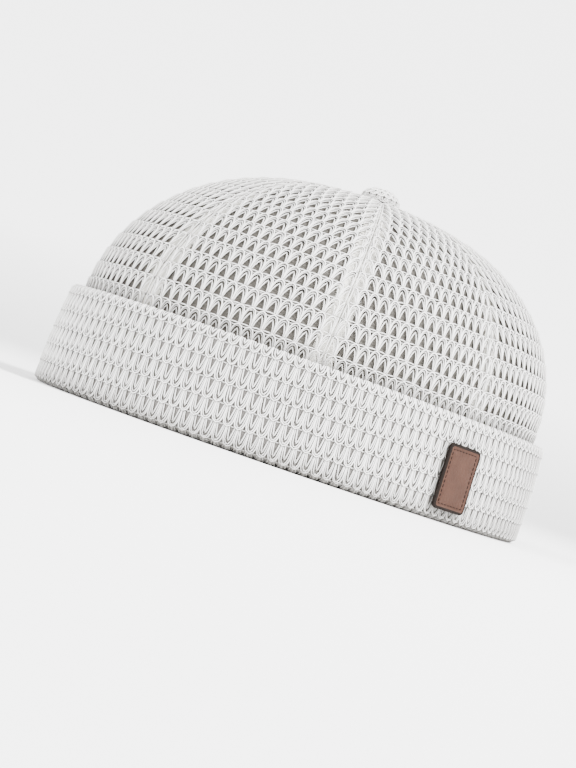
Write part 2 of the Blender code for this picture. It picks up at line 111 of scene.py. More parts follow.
def cloth(name, colour, shade, roughness=0.8, sheen=0.2, grain=900, bump=0.2, patch=60,
          gloss=0.3, crevice_shade=None, inside=None):
    """A fabric: the colour wanders to its shade in soft patches and a fine grain raises the surface.

    Where fibres lie deep between others, a darker colour may take over as painted shade, and the
    side that is turned to the inside of the cap may be painted in a tone of its own, as its shade.
    """
    material = bpy.data.materials.new(name)
    material.use_nodes = True
    nodes, links = material.node_tree.nodes, material.node_tree.links
    shader = nodes["Principled BSDF"]
    shader.inputs["Roughness"].default_value = roughness
    shader.inputs["Sheen Weight"].default_value = sheen
    shader.inputs["Sheen Roughness"].default_value = 0.5
    shader.inputs["Specular IOR Level"].default_value = gloss
    place = nodes.new("ShaderNodeTexCoord")
    patches = nodes.new("ShaderNodeTexNoise")
    patches.inputs["Scale"].default_value = patch
    patches.inputs["Detail"].default_value = 4
    ramp = nodes.new("ShaderNodeValToRGB")
    ramp.color_ramp.elements[0].position = 0.3
    ramp.color_ramp.elements[1].position = 0.7
    ramp.color_ramp.elements[0].color = (*shade, 1)
    ramp.color_ramp.elements[1].color = (*colour, 1)
    fine = nodes.new("ShaderNodeTexNoise")
    fine.inputs["Scale"].default_value = grain
    raise_up = nodes.new("ShaderNodeBump")
    raise_up.inputs["Strength"].default_value = bump
    raise_up.inputs["Distance"].default_value = GRAIN_DEPTH
    links.new(place.outputs["Object"], patches.inputs["Vector"])
    links.new(place.outputs["Object"], fine.inputs["Vector"])
    links.new(patches.outputs["Fac"], ramp.inputs["Fac"])
    coloured = ramp.outputs["Color"]
    # Painted shade: the colour changes with the side a surface turns to the inside of the cap.
    if inside:
        geometry = nodes.new("ShaderNodeNewGeometry")
        facing_out = nodes.new("ShaderNodeVectorMath")
        facing_out.operation = "DOT_PRODUCT"
        reach = nodes.new("ShaderNodeMapRange")
        reach.inputs["From Min"].default_value = -INSIDE_BLEND
        reach.inputs["From Max"].default_value = INSIDE_BLEND
        links.new(place.outputs["Object"], facing_out.inputs[0])
        links.new(geometry.outputs["True Normal"], facing_out.inputs[1])
        links.new(facing_out.outputs["Value"], reach.inputs["Value"])
        coloured = mix_colours(nodes, links, reach.outputs["Result"], inside, coloured)
    # Painted shade: an ambient occlusion mask darkens the colour where fibres lie deep between others.
    if crevice_shade:
        occlusion_shade = nodes.new("ShaderNodeAmbientOcclusion")
        occlusion_shade.samples = 4
        occlusion_shade.inputs["Distance"].default_value = CREVICE_SHADE_REACH
        steeper = nodes.new("ShaderNodeMath")
        steeper.operation = "POWER"
        steeper.inputs[1].default_value = CREVICE_SHADE_POWER
        links.new(occlusion_shade.outputs["AO"], steeper.inputs[0])
        coloured = mix_colours(nodes, links, steeper.outputs["Value"], crevice_shade, coloured)
    links.new(coloured, shader.inputs["Base Color"])
    links.new(fine.outputs["Fac"], raise_up.inputs["Height"])
    links.new(raise_up.outputs["Normal"], shader.inputs["Normal"])
    return material


WHITE, WHITE_SHADE = (0.86, 0.85, 0.835), (0.80, 0.79, 0.775)
# The white yarn is darkened by painted shade where its strands lie deep between others.
yarn = cloth("yarn", WHITE, WHITE_SHADE, roughness=0.5, bump=0.15, crevice_shade=(0.10, 0.092, 0.080))
# The second layer of the cuff and the button's core are the same off-white yarn, painted dark grey as
# shade.
yarn_core_painted_shade = cloth("yarn_core_painted_shade", (0.21, 0.196, 0.189), (0.175, 0.163, 0.157), roughness=0.85,
                  crevice_shade=(0.10, 0.095, 0.085))
# The backs of the loops are off-white yarn painted as shade: near black on the side turned out, mid grey
# on the side turned in.
yarn_back_painted_shade = cloth("yarn_back_painted_shade", (0.078, 0.072, 0.063), (0.064, 0.059, 0.051), roughness=0.85, sheen=0.0,
                  inside=(0.50, 0.49, 0.47))
print("materials", yarn.name, yarn_core_painted_shade.name, yarn_back_painted_shade.name)

# %% [markdown]
# ## Floor and light
# A studio packshot: a white dish that rises softly all round, so that no horizon shows, and large
# soft lights. Its wall glows by itself, so that it stays white. It is a stage and no part of the cap.

# %% Floor
DISH_FLAT, DISH_ROUND, DISH_WALL, DISH_SIDES = 1.3, 2.5, 2.6, 96
DISH_STEPS, GLOW_HEIGHT, WALL_GLOW = 32, 0.15, 2.0
profile = [(0.0, 0.0), (DISH_FLAT, 0.0)]
for i in range(1, DISH_STEPS + 1):
    swing = math.pi / 2 * i / DISH_STEPS
    profile.append((DISH_FLAT + DISH_ROUND * math.sin(swing), DISH_ROUND * (1 - math.cos(swing))))
profile.append((DISH_FLAT + DISH_ROUND, DISH_WALL))
dish_mesh = bpy.data.meshes.new("studio_floor")
edges = [(i, i + 1) for i in range(len(profile) - 1)]
dish_mesh.from_pydata([(x, 0, z) for x, z in profile], edges, [])
dish = bpy.data.objects.new("studio_floor", dish_mesh)
bpy.context.scene.collection.objects.link(dish)
screw = dish.modifiers.new("Turned form", "SCREW")
screw.steps = screw.render_steps = DISH_SIDES
screw.use_merge_vertices = True
paper = bpy.data.materials.new("studio_white")
paper.use_nodes = True
paper_nodes, paper_links = paper.node_tree.nodes, paper.node_tree.links
paper_shader = paper_nodes["Principled BSDF"]
paper_shader.inputs["Base Color"].default_value = (0.9, 0.9, 0.9, 1)
paper_shader.inputs["Roughness"].default_value = 0.9
paper_shader.inputs["Emission Color"].default_value = (1, 1, 1, 1)
where = paper_nodes.new("ShaderNodeNewGeometry")
height = paper_nodes.new("ShaderNodeSeparateXYZ")
glow = paper_nodes.new("ShaderNodeMapRange")
glow.inputs["From Max"].default_value = GLOW_HEIGHT
glow.inputs["To Max"].default_value = WALL_GLOW
paper_links.new(where.outputs["Position"], height.inputs[0])
paper_links.new(height.outputs["Z"], glow.inputs["Value"])
paper_links.new(glow.outputs["Result"], paper_shader.inputs["Emission Strength"])
dish_mesh.materials.append(paper)

# %% Lights
world = bpy.data.worlds.new("studio")
world.use_nodes = True
world.node_tree.nodes["Background"].inputs["Color"].default_value = (1, 1, 1, 1)
world.node_tree.nodes["Background"].inputs["Strength"].default_value = 1.3
bpy.context.scene.world = world


def soft_light(name, azimuth, elevation, distance, size, power):
    """A square area light that looks at the cap from a bearing and a height given in degrees."""
    lamp = bpy.data.objects.new(name, bpy.data.lights.new(name, "AREA"))
    bpy.context.scene.collection.objects.link(lamp)
    a, e = math.radians(azimuth), math.radians(elevation)
    way = Vector((math.sin(a) * math.cos(e), -math.cos(a) * math.cos(e), math.sin(e)))
    lamp.location = TARGET + way * distance
    lamp.rotation_euler = way.to_track_quat("Z", "Y").to_euler()
    lamp.data.size = size
    lamp.data.energy = power
    return lamp


soft_light("key", 100, 48, 1.5, 0.5, 100)
soft_light("fill", -20, 30, 1.6, 1.2, 40)

# %% [markdown]
# ## The cap's own form
# Every strand lies on the same surfaces as the solids, so their formulas come back here for whole
# arrays of points: the rim's oval, the wall that leans in a little, and the dome over it.

# %% Rim, wall and dome
RIM_HALF_LENGTH, RIM_HALF_WIDTH, RIM_POWER, BACK_WIDENING = 0.1035, 0.0895, 2.12, 0.03
LEAN_FRONT, LEAN_BACK = 0.0025, 0.0006
CUFF_HEIGHT, CUFF_WALL, FOLD_FLOOR = 0.039, 0.004, 0.003
CROWN_WALL, CROWN_HEIGHT, CROWN_SETBACK, DOME_SQUARENESS = 0.002, 0.1080, 0.008, 0.816
PANEL_COUNT, PANEL_BULGE, GAP, FIT = 8, 0.0009, 0.0004, 0.0003
CROWN_INSET = CUFF_WALL + GAP
LINING_INSET = CROWN_INSET + CROWN_WALL + GAP
SHOULDER_Z = CUFF_HEIGHT + 0.001
DOME_RISE = CROWN_HEIGHT - SHOULDER_Z
TAU = math.tau
button_low, button_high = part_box("top_button")
SHIFT_Y = (button_low[1] + button_high[1]) / 2 - CROWN_SETBACK


def rim_radius(angle, inset):
    half_width = (RIM_HALF_WIDTH - inset) * (1 - BACK_WIDENING * np.cos(angle))
    across = np.abs(np.sin(angle) / half_width) ** RIM_POWER
    along = np.abs(np.cos(angle) / (RIM_HALF_LENGTH - inset)) ** RIM_POWER
    return (across + along) ** (-1 / RIM_POWER)


def lean(angle, z):
    return (LEAN_BACK + (LEAN_FRONT - LEAN_BACK) * (1 + np.cos(angle)) / 2) * z / CUFF_HEIGHT


def wall(angle, inset, z):
    """Points of the upright wall, this far inside the rim's outer oval."""
    angle, inset, z = np.broadcast_arrays(angle, inset, z)
    radius = rim_radius(angle, inset) - lean(angle, z)
    return np.stack([radius * np.sin(angle), SHIFT_Y - radius * np.cos(angle), z], -1)


ring_angles = np.linspace(0, TAU, 1441)


def ring_lengths(inset):
    """Running length round the wall, one value for each of ring_angles."""
    steps = np.linalg.norm(np.diff(wall(ring_angles, inset, 0.0), axis=0), axis=-1)
    return np.concatenate([[0], np.cumsum(steps)])


crown_lengths = ring_lengths(CROWN_INSET)
SEAMS = np.interp(np.linspace(0, crown_lengths[-1], PANEL_COUNT + 1), crown_lengths, ring_angles)


def crown_outer(angle, rise):
    angle, rise = np.broadcast_arrays(angle, rise)
    climb = np.clip(rise, 0, 1) * np.pi / 2
    whole = np.mod(angle, TAU)
    k = np.clip(np.searchsorted(SEAMS, whole, side="right") - 1, 0, PANEL_COUNT - 1)
    share = (whole - SEAMS[k]) / (SEAMS[k + 1] - SEAMS[k])
    bulge = PANEL_BULGE * 4 * share * (1 - share) * np.sin(np.pi * np.clip(rise, 0, 1))
    low_z = SHOULDER_Z + np.minimum(rise, 0) * (SHOULDER_Z - FOLD_FLOOR - GAP)
    rim = rim_radius(angle, CROWN_INSET)
    radius = (rim - lean(angle, low_z)) * np.cos(climb) ** DOME_SQUARENESS + bulge
    z = low_z + DOME_RISE * np.sin(climb)
    y = SHIFT_Y + CROWN_SETBACK * np.sin(climb) - radius * np.cos(angle)
    return np.stack([radius * np.sin(angle), y, z], -1)


def unit(vectors):
    return vectors / np.maximum(np.linalg.norm(vectors, axis=-1, keepdims=True), 1e-12)


def crown(angle, rise, depth):
    """Points of the crown moved in by depth, with the outward directions there."""
    step = 1e-3
    along = crown_outer(angle + step, rise) - crown_outer(angle - step, rise)
    upward = crown_outer(angle, np.minimum(rise + step, 1)) - crown_outer(angle, rise - step)
    outward = unit(np.cross(along, upward))
    return crown_outer(angle, rise) - outward * np.asarray(depth)[..., None], outward


def narrowing(rise):
    """The width of the dome at a rise, as a share of its width at the foot."""
    return np.maximum(np.cos(np.clip(rise, 0, 1) * np.pi / 2), 1e-6) ** DOME_SQUARENESS


def rise_at_radius(radius):
    """The rise at which the dome has narrowed to about this radius."""
    return math.acos((radius / RIM_HALF_WIDTH) ** (1 / DOME_SQUARENESS)) * 2 / math.pi


print("seams at", np.degrees(SEAMS).round(1))

# %% [markdown]
# The arch is cut through cuff and crown alike. Seen from behind it is a low superellipse.

# %% Arch
ARCH_HALF_WIDTH, ARCH_HEIGHT, ARCH_POWER = 0.040, 0.052, 2.5
EDGE_CLEAR = 0.0006


def arch_share(points):
    """Under 1 inside the arch, 1 on its edge and more outside it."""
    share = ((np.abs(points[..., 0]) / (ARCH_HALF_WIDTH + EDGE_CLEAR)) ** ARCH_POWER
             + (np.abs(points[..., 2]) / (ARCH_HEIGHT + EDGE_CLEAR)) ** ARCH_POWER)
    return np.where(points[..., 1] > 0, share, 2.0)


def arch_x(z, extra=0.0):
    """Half of the arch's width at a height."""
    share = np.clip(z / (ARCH_HEIGHT + extra), 0, 1) ** ARCH_POWER
    return (ARCH_HALF_WIDTH + extra) * (1 - share) ** (1 / ARCH_POWER)


def bisect_angle(x, place):
    """Angles on the back half at which place(angle) stands this far to the side."""
    low, high = np.full(np.shape(x), np.pi / 2), np.full(np.shape(x), 3 * np.pi / 2)
    for _ in range(36):
        middle = (low + high) / 2
        beyond = place(middle)[..., 0] > x
        low, high = np.where(beyond, middle, low), np.where(beyond, high, middle)
    return (low + high) / 2


def angle_at_x(x, inset, z):
    x, inset, z = np.broadcast_arrays(np.asarray(x, float), inset, z)
    return bisect_angle(x, lambda a: wall(a, inset, z))


def rise_at_height(z):
    low = (z - SHOULDER_Z) / (SHOULDER_Z - FOLD_FLOOR - GAP)
    high = np.arcsin(np.clip((z - SHOULDER_Z) / DOME_RISE, 0, 1)) * 2 / np.pi
    return np.where(z <= SHOULDER_Z, low, high)


def clear_of_arch(angle, rise):
    """Moves points of the crown that lie inside the arch out to its edge."""
    points = crown_outer(angle, rise)
    share = arch_share(points)
    inside = share < 1
    if not inside.any():
        return angle, rise
    grow = share[inside] ** (-1 / ARCH_POWER)
    new_rise = rise_at_height(points[inside, 2] * grow)
    x = points[inside, 0] * grow
    angle, rise = angle.copy(), rise.copy()
    angle[inside] = bisect_angle(x, lambda a: crown_outer(a, new_rise))
    rise[inside] = new_rise
    return angle, rise


def runs(keep):
    """Slices of neighbouring points that are kept, each of five or more."""
    edges = np.flatnonzero(np.diff(np.concatenate([[0], keep.astype(int), [0]])))
    return [slice(a, b) for a, b in zip(edges[::2], edges[1::2]) if b - a > 4]


print("arch half width at the cuff's top", round(float(arch_x(CUFF_HEIGHT)), 4))

# %% [markdown]
# ## Strands as meshes
# Knit is nothing but bent strands, so the main tool is a sweep: a small ring of points carried along
# each strand. It works on arrays, because there are thousands of stitches.

# %% Sweeps
WANDER = (0.022, 0.02, 0.03)


def new_store():
    return {"verts": [], "quads": [], "caps": [], "count": 0}


def add_rings(store, rings, capped=True):
    """Skins rows of closed rings: the array is (strands, rings along, points of a ring, 3)."""
    strands, steps, sides, _ = rings.shape
    index = store["count"] + np.arange(strands * steps * sides).reshape(strands, steps, sides)
    ahead = np.roll(index, -1, axis=2)
    quads = np.stack([index[:, :-1], ahead[:, :-1], ahead[:, 1:], index[:, 1:]], -1)
    store["verts"].append(rings.reshape(-1, 3))
    store["quads"].append(quads.reshape(-1, 4))
    if capped:
        store["caps"] += list(index[:, 0, ::-1]) + list(index[:, -1])
    store["count"] += strands * steps * sides


def add_tubes(store, points, outward, radius, sides=4, flatness=1.0):
    """Sweeps a ring along each strand: points and outward are (strands, points along, 3)."""
    ahead = unit(np.gradient(points, axis=1))
    side = unit(np.cross(ahead, outward))
    lift = np.cross(side, ahead)
    turns = (np.arange(sides) + 0.5) / sides * TAU
    ring = lift[:, :, None] * np.cos(turns)[:, None] * flatness
    ring = ring + side[:, :, None] * np.sin(turns)[:, None]
    add_rings(store, points[:, :, None] + ring * radius)


def apart(points):
    """True where a point has moved on from the one before."""
    return np.concatenate([[True], np.linalg.norm(np.diff(points, axis=0), axis=-1) > 2e-5])


def add_strand(store, points, outward, radius, sides, kept=True, flatness=1.0):
    """Sweeps one long course, in parts where it is cut off or stands still."""
    for part in runs(kept & apart(points)):
        add_tubes(store, points[None, part], outward[None, part], radius, sides, flatness)


def finish_mesh(store, name, materials, sharp=None, recalculate=False):
    """Turns the gathered arrays into one object."""
    verts = np.concatenate(store["verts"])
    quads = np.concatenate(store["quads"])
    corners = [quads.ravel()] + list(store["caps"])
    totals = [4] * len(quads) + [len(cap) for cap in store["caps"]]
    mesh = bpy.data.meshes.new(name)
    mesh.vertices.add(len(verts))
    mesh.vertices.foreach_set("co", verts.astype(np.float32).ravel())
    mesh.loops.add(sum(totals))
    mesh.loops.foreach_set("vertex_index", np.concatenate(corners).astype(np.int32))
    mesh.polygons.add(len(totals))
    starts = np.concatenate([[0], np.cumsum(totals)[:-1]])
    mesh.polygons.foreach_set("loop_start", starts.astype(np.int32))
    mesh.update(calc_edges=True)
    mesh.validate()
    if recalculate:
        form = bmesh.new()
        form.from_mesh(mesh)
        bmesh.ops.recalc_face_normals(form, faces=form.faces)
        form.to_mesh(mesh)
        form.free()
    mesh.shade_smooth()
    if sharp:
        mesh.set_sharp_from_angle(angle=math.radians(sharp))
    for material in materials:
        mesh.materials.append(material)
    item = bpy.data.objects.new(name, mesh)
    bpy.context.scene.collection.objects.link(item)
    return item


def skin(rings, name, materials, sharp=50):
    """One row of closed rings as a piece of its own."""
    store = new_store()
    add_rings(store, rings[None])
    return finish_mesh(store, name, materials, sharp=sharp, recalculate=True)


def dress(pieces, node=None):
    """Every piece rides on the cap's one body, and what shows a solid anew takes its place."""
    for piece in pieces:
        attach(piece, "root")
        if node:
            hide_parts(node)


def triangles(item):
    return sum(len(p.vertices) - 2 for p in item.data.polygons)


def wave(knots, samples):
    """One cell of a strand that repeats from cell to cell, as a smooth curve through its knots.

    The knots are (across, up, out) for the left half, from the cell's edge to its middle.
    """
    left = np.array(knots, float)
    mirrored = left[-2::-1] * [-1, 1, 1]
    cell = np.concatenate([left, mirrored[:-1]])
    count = len(cell)
    around = np.concatenate([cell[-1:] - [1, 0, 0], cell, cell[:2] + [1, 0, 0]])
    t = np.arange(samples) / samples * count
    i = t.astype(int)
    f = (t - i)[:, None]
    p0, p1, p2, p3 = around[i], around[i + 1], around[i + 2], around[i + 3]
    return 0.5 * (2 * p1 + (p2 - p0) * f + (2 * p0 - 5 * p1 + 4 * p2 - p3) * f ** 2
                  + (3 * p1 - p0 - 3 * p2 + p3) * f ** 3)


def row_of(cell, first, count, chance):
    """The strand's course over a row of cells, with the small unevenness of real stitches."""
    centres = np.arange(count + 1) + first
    course = cell[None] + np.stack([centres, centres * 0, centres * 0], -1)[:, None]
    course = course[:-1].reshape(-1, 3)
    course = np.concatenate([course, cell[:1] + [first + count, 0, 0]])
    wander = chance.normal(0, 1, (count + 2, 3)) * WANDER
    places = np.arange(count + 2) + first - 0.5
    for axis in range(3):
        course[:, axis] += np.interp(course[:, 0], places, wander[:, axis])
    return course


print("wave test", wave([(-0.5, 0, 0), (-0.3, 0.5, 0), (0, 1, 0)], 8).round(2)[:3].tolist())

# %% [markdown]
# ## Crown of eight gores
# The fabric is one knitted stitch over and over: a tall loop with a second strand beside it, a
# smaller loop inside that leaves a triangular hole, and a chain that runs along the row. Each row
# is moved by half a stitch, so that a loop's head meets the feet of two stitches above it. A gore is
# cut from flat fabric, so its rows run straight across it and the seams cut through the stitches.

# %% Knit of the crown
CELL_W, CELL_H = 0.0042, 0.00685
KNIT_DEPTH, SEAM_GAP, HEM_REACH, HEM_DEPTH = 0.0008, 0.0003, 0.0016, 0.0006
OUT_UNIT, ARCH_KEPT, KNIT_TOP_RADIUS = 0.001, 0.75, 0.0052
# Each strand has its course through half a stitch, its radius and the number of its sides: the tall
# loop, the strand beside it, the small loop inside, and the two strands of the chain.
CROWN_STRANDS = [
    (wave([(-0.5, -0.06, -0.3), (-0.487, 0.22, 0.05), (-0.462, 0.6, 0.2), (-0.33, 0.88, 0.35),
           (0, 1.01, 0.45)], 10), 0.00028, 4),
    (wave([(-0.5, -0.02, -0.55), (-0.435, 0.20, -0.05), (-0.40, 0.55, 0.1), (-0.25, 0.81, 0.15),
           (0, 0.91, 0.15)], 9), 0.00025, 3),
    (wave([(-0.5, 0.02, -0.45), (-0.38, 0.09, 0), (-0.305, 0.34, 0), (-0.155, 0.60, 0), (0, 0.76, 0)], 8),
     0.00025, 3),
    (wave([(-0.5, 0.03, 0.0), (-0.25, 0.05, -0.1), (0, 0.06, -0.1)], 4), 0.00026, 3),
    (wave([(-0.5, 0.02, -0.2), (-0.25, -0.06, -0.3), (0, -0.09, -0.3)], 4), 0.00029, 3),
]


def seam_half(rise):
    """Half of a gore's width along the surface at a rise."""
    return crown_lengths[-1] / PANEL_COUNT / 2 * narrowing(rise)


rise_table = np.linspace(-0.3, rise_at_radius(KNIT_TOP_RADIUS), 400)


def gore_lines(k):
    """Running length up the middle of a gore, and the place of that middle round the rim."""
    middle = (SEAMS[k] + SEAMS[k + 1]) / 2
    line = crown_outer(middle, rise_table)
    lengths = np.concatenate([[0], np.cumsum(np.linalg.norm(np.diff(line, axis=0), axis=-1))])
    return lengths, np.interp(middle, ring_angles, crown_lengths)


def row_cells(row, lengths):
    """How many stitches a row has, and the place of the first one."""
    reach = seam_half(np.interp((row + 0.5) * CELL_H, lengths, rise_table)) / CELL_W
    cells = max(int(np.ceil(reach - 0.5 * (row % 2) + 0.2)) * 2 + row % 2, 1)
    return cells, -(cells - 1) / 2


def on_gore(course, base, lines, hems):
    """Bearing, rise and distance from the hem for a course that is given in stitches.

    hems(rise) says how far the course keeps from the seam on either side.
    """
    lengths, middle_length = lines
    rise = np.interp(np.clip(base + course[:, 1] * CELL_H, 0, lengths[-1]), lengths, rise_table)
    first, last = (np.maximum(seam_half(rise) - hem, 0.0003) for hem in hems(rise))
    across = np.clip(course[:, 0] * CELL_W, -first, last)
    angle = np.interp(middle_length + across / narrowing(rise), crown_lengths, ring_angles)
    return angle, rise, np.where(across < 0, first + across, last - across)


def knit_gore(k, chance):
    """All the strands of one gore."""
    store = new_store()
    lines = gore_lines(k)
    for row in range(int(lines[0][-1] / CELL_H) + 1):
        cells, first = row_cells(row, lines[0])
        for cell, radius, sides in CROWN_STRANDS:
            course = row_of(cell, first, cells, chance)
            angle, rise, from_hem = on_gore(course, row * CELL_H, lines, lambda rise: [SEAM_GAP] * 2)
            kept = arch_share(crown_outer(angle, rise)) > ARCH_KEPT
            angle, rise = clear_of_arch(angle, rise)
            near_seam = np.clip(1 - from_hem / HEM_REACH, 0, 1)
            depth = KNIT_DEPTH - course[:, 2] * OUT_UNIT + near_seam ** 2 * HEM_DEPTH
            points, outward = crown(angle, rise, depth)
            add_strand(store, points, outward, radius, sides, kept)
    return store


chance = np.random.default_rng(7)
gores = [finish_mesh(knit_gore(k, chance), f"knit_gore_{k + 1}", [yarn]) for k in range(PANEL_COUNT)]
print("gores", [triangles(gore) for gore in gores], "triangles")

# %% [markdown]
# Behind the loops lie their backs, three flat turns of yarn to a row. They close the holes from
# behind, and their yarn is painted dark grey-brown as shade on the side turned out and mid grey on
# the side turned in, so a hole doesn't show the room through the cap but a soft grey-brown painted
# shade. They stop short of the seams, where the pale tape shows instead.

# %% Backs of the loops
BACK_DEPTH, BACK_RADIUS, BACK_FLATNESS, BACK_HEM = 0.00172, 0.00150, 0.17, 0.0048
BACK_LEVELS, BACK_ZIGZAG, BACK_CLEAR = (0.13, 0.43, 0.73), 0.035, 1.1
TAPE_WIDTH, SWEATBAND_HEIGHT = 0.011, 0.0345
FACING_HALF_WIDTH, FACING_HEIGHT, CONTOUR_POWER = 0.064, 0.065, 4.0


def tape_foot(k):
    """The height at which a tape ends over the sweatband or the facing."""
    seam_x = abs(wall(SEAMS[k], CROWN_INSET, 0.0)[0]) - TAPE_WIDTH
    if math.cos(SEAMS[k]) > 0 or seam_x >= FACING_HALF_WIDTH:
        return SWEATBAND_HEIGHT
    share = (max(seam_x, 0) / FACING_HALF_WIDTH) ** CONTOUR_POWER
    return max(FACING_HEIGHT * (1 - share) ** (1 / CONTOUR_POWER), SWEATBAND_HEIGHT)


def back_hems(k, rise):
    """The backs keep clear of a seam where its tape lies, and go up to it below the tape."""
    feet = [rise_at_height(tape_foot(seam % PANEL_COUNT) + 0.002) for seam in (k, k + 1)]
    return [np.where(rise < foot, SEAM_GAP, BACK_HEM) for foot in feet]


def gore_back(k):
    """Flat turns of yarn behind every row of a gore."""
    store = new_store()
    lines = gore_lines(k)
    for row in range(int(lines[0][-1] / CELL_H) + 1):
        cells, first = row_cells(row, lines[0])
        steps = np.arange(2 * cells + 1)
        for level in BACK_LEVELS:
            course = np.stack([first - 0.5 + steps / 2, level + BACK_ZIGZAG * (-1.0) ** steps], -1)
            angle, rise, _ = on_gore(course, row * CELL_H, lines, lambda rise: back_hems(k, rise))
            points, outward = crown(angle, rise, np.full(len(steps), BACK_DEPTH))
            kept = arch_share(points) > BACK_CLEAR
            add_strand(store, points, outward, BACK_RADIUS, 4, kept, BACK_FLATNESS)
    return store


for k, gore in enumerate(gores):
    # The backs are painted as shade, so that the holes of the knit look dark.
    back_layer = finish_mesh(gore_back(k), f"gore_back_{k + 1}", [yarn_back_painted_shade])
    dress((gore, back_layer), f"crown_panel_{k + 1}")

# %% [markdown]
# ## Cuff
# The cuff is the same fabric turned up round the rim, so its stitches stand upside down, closer
# together and doubled: the holes are small wedges, wide at the top, with grey shade in them. Under
# the strands lies a band of the same form, the second layer of the fabric, painted dark grey as the
# shade in the wedges.

# %% Cuff section
CUFF_BELLY, FOLD_ROUND, TOP_ROUND = 0.0006, 0.0025, CUFF_WALL / 2
LINING_FACE = LINING_INSET - GAP


def cuff_path():
    """(inset, z) from the floor under the lining, round the fold, up the face and over the top."""
    floor = [(inset, 0.0) for inset in np.linspace(LINING_FACE - 0.0006, FOLD_ROUND, 6)]
    fold = [(FOLD_ROUND - FOLD_ROUND * math.sin(t), FOLD_ROUND - FOLD_ROUND * math.cos(t))
            for t in np.linspace(0, math.pi / 2, 9)[1:]]
    high = CUFF_HEIGHT - TOP_ROUND
    face = [(-CUFF_BELLY * math.sin(math.pi * t), FOLD_ROUND + t * (high - FOLD_ROUND))
            for t in np.linspace(0, 1, 20)[1:]]
    top = [(TOP_ROUND - TOP_ROUND * math.cos(t), high + TOP_ROUND * math.sin(t))
           for t in np.linspace(0, math.pi, 15)[1:]]
    inside = [(CUFF_WALL, z) for z in np.linspace(high, CUFF_HEIGHT * 0.85, 4)[1:]]
    return np.array(floor + fold + face + top + inside)


section = cuff_path()
section_lengths = np.concatenate([[0], np.cumsum(np.linalg.norm(np.diff(section, axis=0), axis=-1))])
section_out = unit(np.gradient(section, axis=0)) @ np.array([[0, 1], [-1, 0]])


def along_section(length, columns):
    return np.stack([np.interp(length, section_lengths, columns[:, i]) for i in range(2)], -1)


def cuff_points(angle, length, depth):
    """Points of the cuff by bearing and by length along its section, with the outward directions."""
    out = unit(along_section(length, section_out))
    place = along_section(length, section) - out * np.asarray(depth)[..., None]
    z = np.maximum(place[..., 1], 0.0002)
    outward = np.stack([-out[..., 0] * np.sin(angle), out[..., 0] * np.cos(angle), out[..., 1]], -1)
    return wall(angle, place[..., 0], z), outward


cuff_lengths = ring_lengths(0.0)
edge_z = np.linspace(0, CUFF_HEIGHT, 60)
edge_angles = 2 * np.pi - angle_at_x(-arch_x(edge_z, EDGE_CLEAR), 0.002, edge_z)
edge_lengths = np.interp(edge_angles, ring_angles, cuff_lengths)


def cuff_bearing(length):
    """The bearing at a length round the rim, measured from the front."""
    around = cuff_lengths[-1]
    return np.interp(np.mod(length, around), cuff_lengths, ring_angles) + TAU * np.floor(length / around)


print("cuff section", round(float(section_lengths[-1]), 4), "m")

# %% Knit of the cuff
CUFF_CELL_W = float(cuff_lengths[-1]) / round(float(cuff_lengths[-1]) / 0.0041)
CUFF_CELL_H = 0.0067
CUFF_KNIT_DEPTH = 0.0006
CUFF_STRANDS = [
    (wave([(-0.5, 1.04, -0.2), (-0.488, 0.80, 0.1), (-0.465, 0.40, 0.2), (-0.37, 0.06, 0.3),
           (0, -0.10, 0.3)], 10), 0.00030, 4),
    (wave([(-0.5, 1.0, -0.4), (-0.385, 0.85, 0.0), (-0.325, 0.45, 0.1), (-0.23, 0.10, 0.15),
           (0, -0.02, 0.1)], 9), 0.00029, 3),
    (wave([(-0.5, 0.98, -0.4), (-0.25, 0.90, 0.0), (-0.175, 0.60, 0.05), (-0.08, 0.30, 0.05),
           (0, 0.18, 0.0)], 8), 0.00029, 3),
    (wave([(-0.5, 1.02, -0.15), (-0.25, 0.96, -0.15), (0, 0.94, -0.15)], 4), 0.00028, 3),
]


def knit_cuff(side, chance):
    """The strands of the cuff on one side of the cap: side is 1 for the wearer's left."""
    store = new_store()
    rows = int(section_lengths[-1] / CUFF_CELL_H) + 1
    for row in range(rows):
        base = row * CUFF_CELL_H
        stagger = 0.5 * (row % 2)
        cells = int(edge_lengths.max() / CUFF_CELL_W) + 1
        for cell, radius, sides in CUFF_STRANDS:
            course = row_of(cell, stagger, cells, chance)
            length = np.clip(base + course[:, 1] * CUFF_CELL_H, 0, section_lengths[-1])
            z = along_section(length, section)[:, 1]
            limit = np.interp(z, edge_z, edge_lengths)
            angle = side * cuff_bearing(np.minimum(course[:, 0] * CUFF_CELL_W, limit))
            points, outward = cuff_points(angle, length, CUFF_KNIT_DEPTH - course[:, 2] * OUT_UNIT)
            add_strand(store, points, outward, radius, sides)
    return store


for side, name in ((1, "knit_cuff_left"), (-1, "knit_cuff_right")):
    half_cuff = finish_mesh(knit_cuff(side, chance), name, [yarn])
    dress([half_cuff], "cuff")
    print(half_cuff.name, triangles(half_cuff), "triangles")

# %% Second layer of the cuff
CORE_DEPTH, CORE_STEPS = 0.0010, 160
core_lengths = np.linspace(0, section_lengths[-1], 46)
core_out = unit(along_section(core_lengths, section_out))
core = along_section(core_lengths, section) - core_out * CORE_DEPTH
core_inner = [(CUFF_WALL - 0.0002, 0.033), (CUFF_WALL - 0.0002, FOLD_FLOOR), (LINING_FACE, FOLD_FLOOR)]
core = np.concatenate([core, core_inner])
core[:, 1] = np.maximum(core[:, 1], 0.0006)
shares = np.linspace(-1, 1, CORE_STEPS)
core_limit = np.interp(core[:, 1], edge_z, edge_lengths) - 0.0003
core_angle = cuff_bearing(shares[:, None] * core_limit[None])
# The second layer is painted dark grey, as the shade between the two layers of off-white knit.
cuff_core = skin(wall(core_angle, core[None, :, 0], core[None, :, 1]), "cuff_core", [yarn_core_painted_shade])
dress([cuff_core], "cuff")
print(cuff_core.name, triangles(cuff_core), "triangles")

